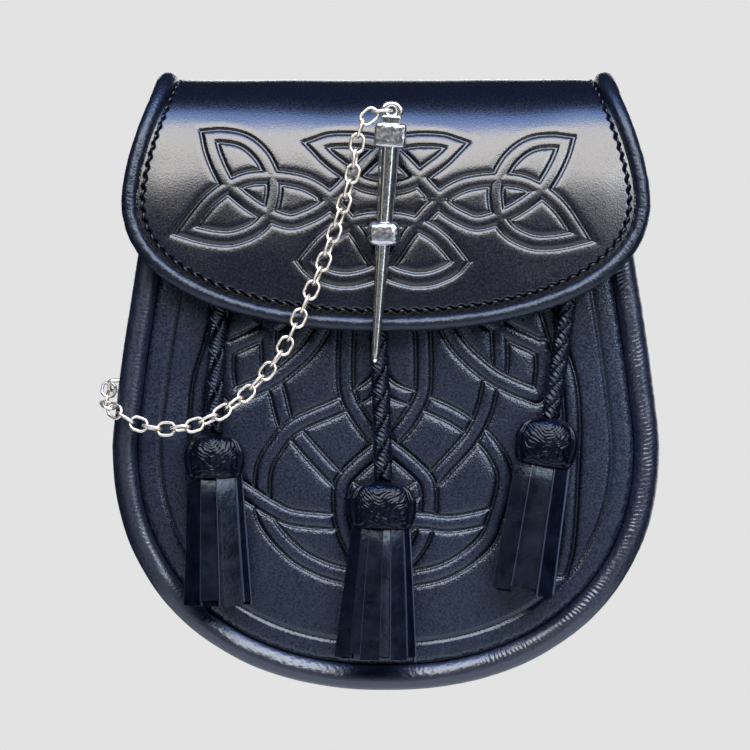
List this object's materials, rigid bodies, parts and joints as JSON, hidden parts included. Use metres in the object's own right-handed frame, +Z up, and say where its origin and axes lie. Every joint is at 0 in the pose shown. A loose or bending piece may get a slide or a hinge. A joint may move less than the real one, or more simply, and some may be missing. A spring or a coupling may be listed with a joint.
{
  "type": "sporran pouch",
  "caption": "Hollow leather waist pouch with a fold-over flap, pin-and-staple clasp on a chain, braided cords with leather tassels, and a belt loop behind.",
  "frame": {"origin": "middle of the belt's passage between the back panel and the belt loop, where the pouch hangs on a belt", "axes": "+Z up the hanging pouch, +Y backwards towards the wearer, so the flap and clasp face -Y, and +X to the right as seen from the front"},
  "size_m": [0.1841, 0.0609, 0.2026],
  "materials": {
    "plain_leather": "smooth black leather, satin",
    "embossed_leather": "black leather with pressed knotwork, fine grain, satin with a blue tint in the light",
    "binding_leather": "soft black leather rolled over a core, lightly wrinkled",
    "tassel_leather": "black leather strips and thongs, satin",
    "polished_metal": "polished nickel plate, lightly hammered on the clasp's blocks",
    "chain_metal": "bright plated wire"
  },
  "bodies": {
    "root": {"back_panel": "plain_leather", "gusset": "plain_leather", "belt_loop": "plain_leather", "body_piping": "binding_leather", "front_panel": "embossed_leather", "flap": "embossed_leather", "flap_piping": "binding_leather", "staple": "polished_metal", "clasp_pin": "polished_metal", "chain_anchor": "chain_metal", "chain_link_01": "chain_metal", "chain_link_02": "chain_metal", "chain_link_03": "chain_metal", "chain_link_04": "chain_metal", "chain_link_05": "chain_metal", "chain_link_06": "chain_metal", "chain_link_07": "chain_metal", "chain_link_08": "chain_metal", "chain_link_09": "chain_metal", "chain_link_10": "chain_metal", "chain_link_11": "chain_metal", "chain_link_12": "chain_metal", "chain_link_13": "chain_metal", "chain_link_14": "chain_metal", "chain_link_15": "chain_metal", "chain_link_16": "chain_metal", "chain_link_17": "chain_metal", "chain_link_18": "chain_metal", "chain_link_19": "chain_metal", "chain_link_20": "chain_metal", "chain_link_21": "chain_metal", "chain_link_22": "chain_metal", "chain_link_23": "chain_metal", "chain_link_24": "chain_metal", "chain_link_25": "chain_metal", "chain_link_26": "chain_metal", "chain_link_27": "chain_metal", "chain_link_28": "chain_metal", "chain_link_29": "chain_metal", "chain_link_30": "chain_metal", "chain_link_31": "chain_metal", "chain_link_32": "chain_metal", "chain_link_33": "chain_metal", "chain_link_34": "chain_metal", "chain_link_35": "chain_metal", "tassel_cord_left": "tassel_leather", "tassel_cord_centre": "tassel_leather", "tassel_cord_right": "tassel_leather", "tassel_left": "tassel_leather", "tassel_centre": "tassel_leather", "tassel_right": "tassel_leather"}
  },
  "joints": []
}
